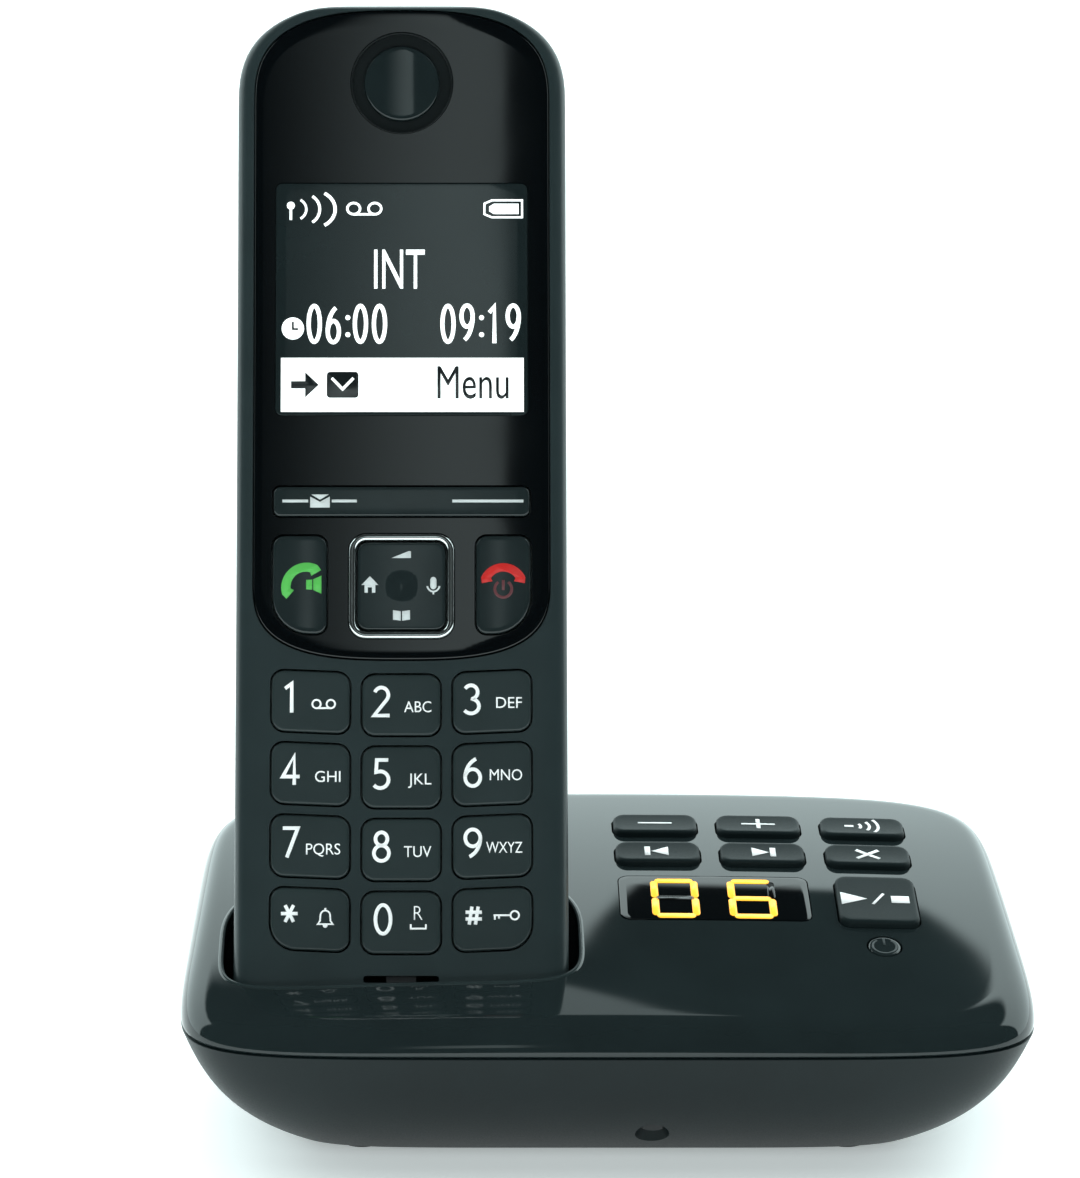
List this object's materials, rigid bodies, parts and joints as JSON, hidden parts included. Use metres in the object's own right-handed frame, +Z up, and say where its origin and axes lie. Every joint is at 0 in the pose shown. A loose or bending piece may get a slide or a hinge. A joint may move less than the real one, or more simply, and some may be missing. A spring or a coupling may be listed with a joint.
{
  "type": "cordless phone with answering base",
  "caption": "Cordless desk phone: a slim handset with keypad and display leans in the charging cradle of a wide answering base with raised keys and a digit display.",
  "frame": {"origin": "middle of the bottom of the box around the whole phone, on the surface that the feet stand on", "axes": "+Z up, +X to the right and +Y to the back, as seen by someone facing the keys"},
  "size_m": [0.1248, 0.0851, 0.1622],
  "materials": {
    "gloss_casing": "high-gloss dark grey plastic of the base top",
    "satin_casing": "fine-textured dark grey plastic of the base underside and handset back",
    "handset_frame": "satin dark grey plastic of the handset front",
    "panel_gloss": "piano-black front panel",
    "display_glass": "dark display window",
    "lcd": "display module",
    "key_rubber": "satin key caps",
    "key_gloss": "gloss key caps",
    "chrome_trim": "polished trim",
    "cradle_black": "dark cup and grille parts",
    "segment_amber": "lit amber digit bars",
    "board_green": "circuit board",
    "mat_silicone": "silicone key mat",
    "foot_rubber": "rubber feet",
    "screw_steel": "plated steel",
    "contact_metal": "nickel-plated contacts",
    "speaker_metal": "loudspeaker frames",
    "cell_sleeve": "printed battery sleeve without lettering",
    "socket_black": "socket housings"
  },
  "bodies": {
    "base": {"base_upper_shell": "gloss_casing", "base_lower_shell": "satin_casing", "cradle_cup": "cradle_black", "base_window": "panel_gloss", "digit_display": "cradle_black", "display_segments": "segment_amber", "control_mat": "mat_silicone", "control_board": "board_green", "base_board": "board_green", "loudspeaker": "speaker_metal", "rubber_feet": "foot_rubber", "base_screws": "screw_steel", "line_socket": "socket_black", "power_socket": "socket_black"},
    "handset": {"front_shell": "handset_frame", "rear_shell": "satin_casing", "gloss_panel": "panel_gloss", "display_window": "display_glass", "lcd_module": "lcd", "earpiece_cap": "handset_frame", "earpiece_ring": "cradle_black", "earpiece_speaker": "speaker_metal", "handset_board": "board_green", "key_mat": "mat_silicone", "nav_ring": "chrome_trim", "microphone": "speaker_metal", "ringer_speaker": "speaker_metal", "batteries": "cell_sleeve", "battery_contacts": "contact_metal", "charge_pads": "contact_metal", "handset_screws": "screw_steel"},
    "battery_door": {"battery_door": "satin_casing"},
    "key_1": {"key_1": "key_rubber"},
    "key_2": {"key_2": "key_rubber"},
    "key_3": {"key_3": "key_rubber"},
    "key_4": {"key_4": "key_rubber"},
    "key_5": {"key_5": "key_rubber"},
    "key_6": {"key_6": "key_rubber"},
    "key_7": {"key_7": "key_rubber"},
    "key_8": {"key_8": "key_rubber"},
    "key_9": {"key_9": "key_rubber"},
    "key_star": {"key_star": "key_rubber"},
    "key_0": {"key_0": "key_rubber"},
    "key_hash": {"key_hash": "key_rubber"},
    "talk_key": {"talk_key": "key_gloss"},
    "end_key": {"end_key": "key_gloss"},
    "softkey_bar": {"softkey_bar": "key_rubber"},
    "nav_hub": {"nav_hub": "cradle_black"},
    "nav_key": {"nav_key": "key_gloss"},
    "base_key_minus": {"base_key_minus": "key_rubber"},
    "base_key_plus": {"base_key_plus": "key_rubber"},
    "base_key_page": {"base_key_page": "key_rubber"},
    "base_key_previous": {"base_key_previous": "key_rubber"},
    "base_key_next": {"base_key_next": "key_rubber"},
    "base_key_delete": {"base_key_delete": "key_rubber"},
    "base_key_play_stop": {"base_key_play_stop": "key_rubber"},
    "base_key_answer": {"base_key_answer": "key_rubber"},
    "charge_contact_left": {"charge_contact_left": "contact_metal"},
    "charge_contact_right": {"charge_contact_right": "contact_metal"}
  },
  "joints": [
    {"name": "handset_lift", "type": "slide", "parent": "base", "child": "handset", "axis": [0, 0.3907, 0.9205], "range_m": [0, 0.06]},
    {"name": "battery_door_off", "type": "slide", "parent": "handset", "child": "battery_door", "axis": [0, 0.9205, -0.3907], "range_m": [0, 0.01]},
    {"name": "key_1_press", "type": "slide", "parent": "handset", "child": "key_1", "axis": [0, 0.9205, -0.3907], "range_m": [0, 0.0005], "stiffness_N_per_m": 400, "springref_m": -0.0002},
    {"name": "key_2_press", "type": "slide", "parent": "handset", "child": "key_2", "axis": [0, 0.9205, -0.3907], "range_m": [0, 0.0005], "stiffness_N_per_m": 400, "springref_m": -0.0002},
    {"name": "key_3_press", "type": "slide", "parent": "handset", "child": "key_3", "axis": [0, 0.9205, -0.3907], "range_m": [0, 0.0005], "stiffness_N_per_m": 400, "springref_m": -0.0002},
    {"name": "key_4_press", "type": "slide", "parent": "handset", "child": "key_4", "axis": [0, 0.9205, -0.3907], "range_m": [0, 0.0005], "stiffness_N_per_m": 400, "springref_m": -0.0002},
    {"name": "key_5_press", "type": "slide", "parent": "handset", "child": "key_5", "axis": [0, 0.9205, -0.3907], "range_m": [0, 0.0005], "stiffness_N_per_m": 400, "springref_m": -0.0002},
    {"name": "key_6_press", "type": "slide", "parent": "handset", "child": "key_6", "axis": [0, 0.9205, -0.3907], "range_m": [0, 0.0005], "stiffness_N_per_m": 400, "springref_m": -0.0002},
    {"name": "key_7_press", "type": "slide", "parent": "handset", "child": "key_7", "axis": [0, 0.9205, -0.3907], "range_m": [0, 0.0005], "stiffness_N_per_m": 400, "springref_m": -0.0002},
    {"name": "key_8_press", "type": "slide", "parent": "handset", "child": "key_8", "axis": [0, 0.9205, -0.3907], "range_m": [0, 0.0005], "stiffness_N_per_m": 400, "springref_m": -0.0002},
    {"name": "key_9_press", "type": "slide", "parent": "handset", "child": "key_9", "axis": [0, 0.9205, -0.3907], "range_m": [0, 0.0005], "stiffness_N_per_m": 400, "springref_m": -0.0002},
    {"name": "key_star_press", "type": "slide", "parent": "handset", "child": "key_star", "axis": [0, 0.9205, -0.3907], "range_m": [0, 0.0005], "stiffness_N_per_m": 400, "springref_m": -0.0002},
    {"name": "key_0_press", "type": "slide", "parent": "handset", "child": "key_0", "axis": [0, 0.9205, -0.3907], "range_m": [0, 0.0005], "stiffness_N_per_m": 400, "springref_m": -0.0002},
    {"name": "key_hash_press", "type": "slide", "parent": "handset", "child": "key_hash", "axis": [0, 0.9205, -0.3907], "range_m": [0, 0.0005], "stiffness_N_per_m": 400, "springref_m": -0.0002},
    {"name": "talk_key_press", "type": "slide", "parent": "handset", "child": "talk_key", "axis": [0, 0.9205, -0.3907], "range_m": [0, 0.0005], "stiffness_N_per_m": 400, "springref_m": -0.0002},
    {"name": "end_key_press", "type": "slide", "parent": "handset", "child": "end_key", "axis": [0, 0.9205, -0.3907], "range_m": [0, 0.0005], "stiffness_N_per_m": 400, "springref_m": -0.0002},
    {"name": "softkey_rock", "type": "hinge", "parent": "handset", "child": "softkey_bar", "pos_m": [-0.0301, 0.00141, 0.09251], "axis": [0, 0.3907, 0.9205], "range_deg": [-1.2, 1.2], "stiffness_Nm_per_rad": 0.05},
    {"name": "nav_tilt_up_down", "type": "hinge", "parent": "handset", "child": "nav_hub", "pos_m": [-0.0301, -0.0026, 0.08052], "axis": [1, 0, 0], "range_deg": [-3, 3], "stiffness_Nm_per_rad": 0.05},
    {"name": "nav_tilt_left_right", "type": "hinge", "parent": "nav_hub", "child": "nav_key", "pos_m": [-0.0301, -0.0026, 0.08052], "axis": [0, 0.3907, 0.9205], "range_deg": [-3, 3], "stiffness_Nm_per_rad": 0.05},
    {"name": "base_key_minus_press", "type": "slide", "parent": "base", "child": "base_key_minus", "axis": [0, 0.1994, -0.9799], "range_m": [0, 0.0008], "stiffness_N_per_m": 400, "springref_m": -0.0002},
    {"name": "base_key_plus_press", "type": "slide", "parent": "base", "child": "base_key_plus", "axis": [0, 0.1994, -0.9799], "range_m": [0, 0.0008], "stiffness_N_per_m": 400, "springref_m": -0.0002},
    {"name": "base_key_page_press", "type": "slide", "parent": "base", "child": "base_key_page", "axis": [0, 0.1994, -0.9799], "range_m": [0, 0.0008], "stiffness_N_per_m": 400, "springref_m": -0.0002},
    {"name": "base_key_previous_press", "type": "slide", "parent": "base", "child": "base_key_previous", "axis": [0, 0.1994, -0.9799], "range_m": [0, 0.0008], "stiffness_N_per_m": 400, "springref_m": -0.0002},
    {"name": "base_key_next_press", "type": "slide", "parent": "base", "child": "base_key_next", "axis": [0, 0.1994, -0.9799], "range_m": [0, 0.0008], "stiffness_N_per_m": 400, "springref_m": -0.0002},
    {"name": "base_key_delete_press", "type": "slide", "parent": "base", "child": "base_key_delete", "axis": [0, 0.1994, -0.9799], "range_m": [0, 0.0008], "stiffness_N_per_m": 400, "springref_m": -0.0002},
    {"name": "base_key_play_stop_press", "type": "slide", "parent": "base", "child": "base_key_play_stop", "axis": [0, 0.1994, -0.9799], "range_m": [0, 0.0008], "stiffness_N_per_m": 400, "springref_m": -0.0002},
    {"name": "base_key_answer_press", "type": "slide", "parent": "base", "child": "base_key_answer", "axis": [0, 0.1994, -0.9799], "range_m": [0, 0.0004], "stiffness_N_per_m": 400, "springref_m": -0.0002},
    {"name": "charge_contact_left_spring", "type": "slide", "parent": "base", "child": "charge_contact_left", "axis": [0, 0.3907, 0.9205], "range_m": [-0.0005, 0], "stiffness_N_per_m": 300, "springref_m": 0.0004},
    {"name": "charge_contact_right_spring", "type": "slide", "parent": "base", "child": "charge_contact_right", "axis": [0, 0.3907, 0.9205], "range_m": [-0.0005, 0], "stiffness_N_per_m": 300, "springref_m": 0.0004}
  ]
}
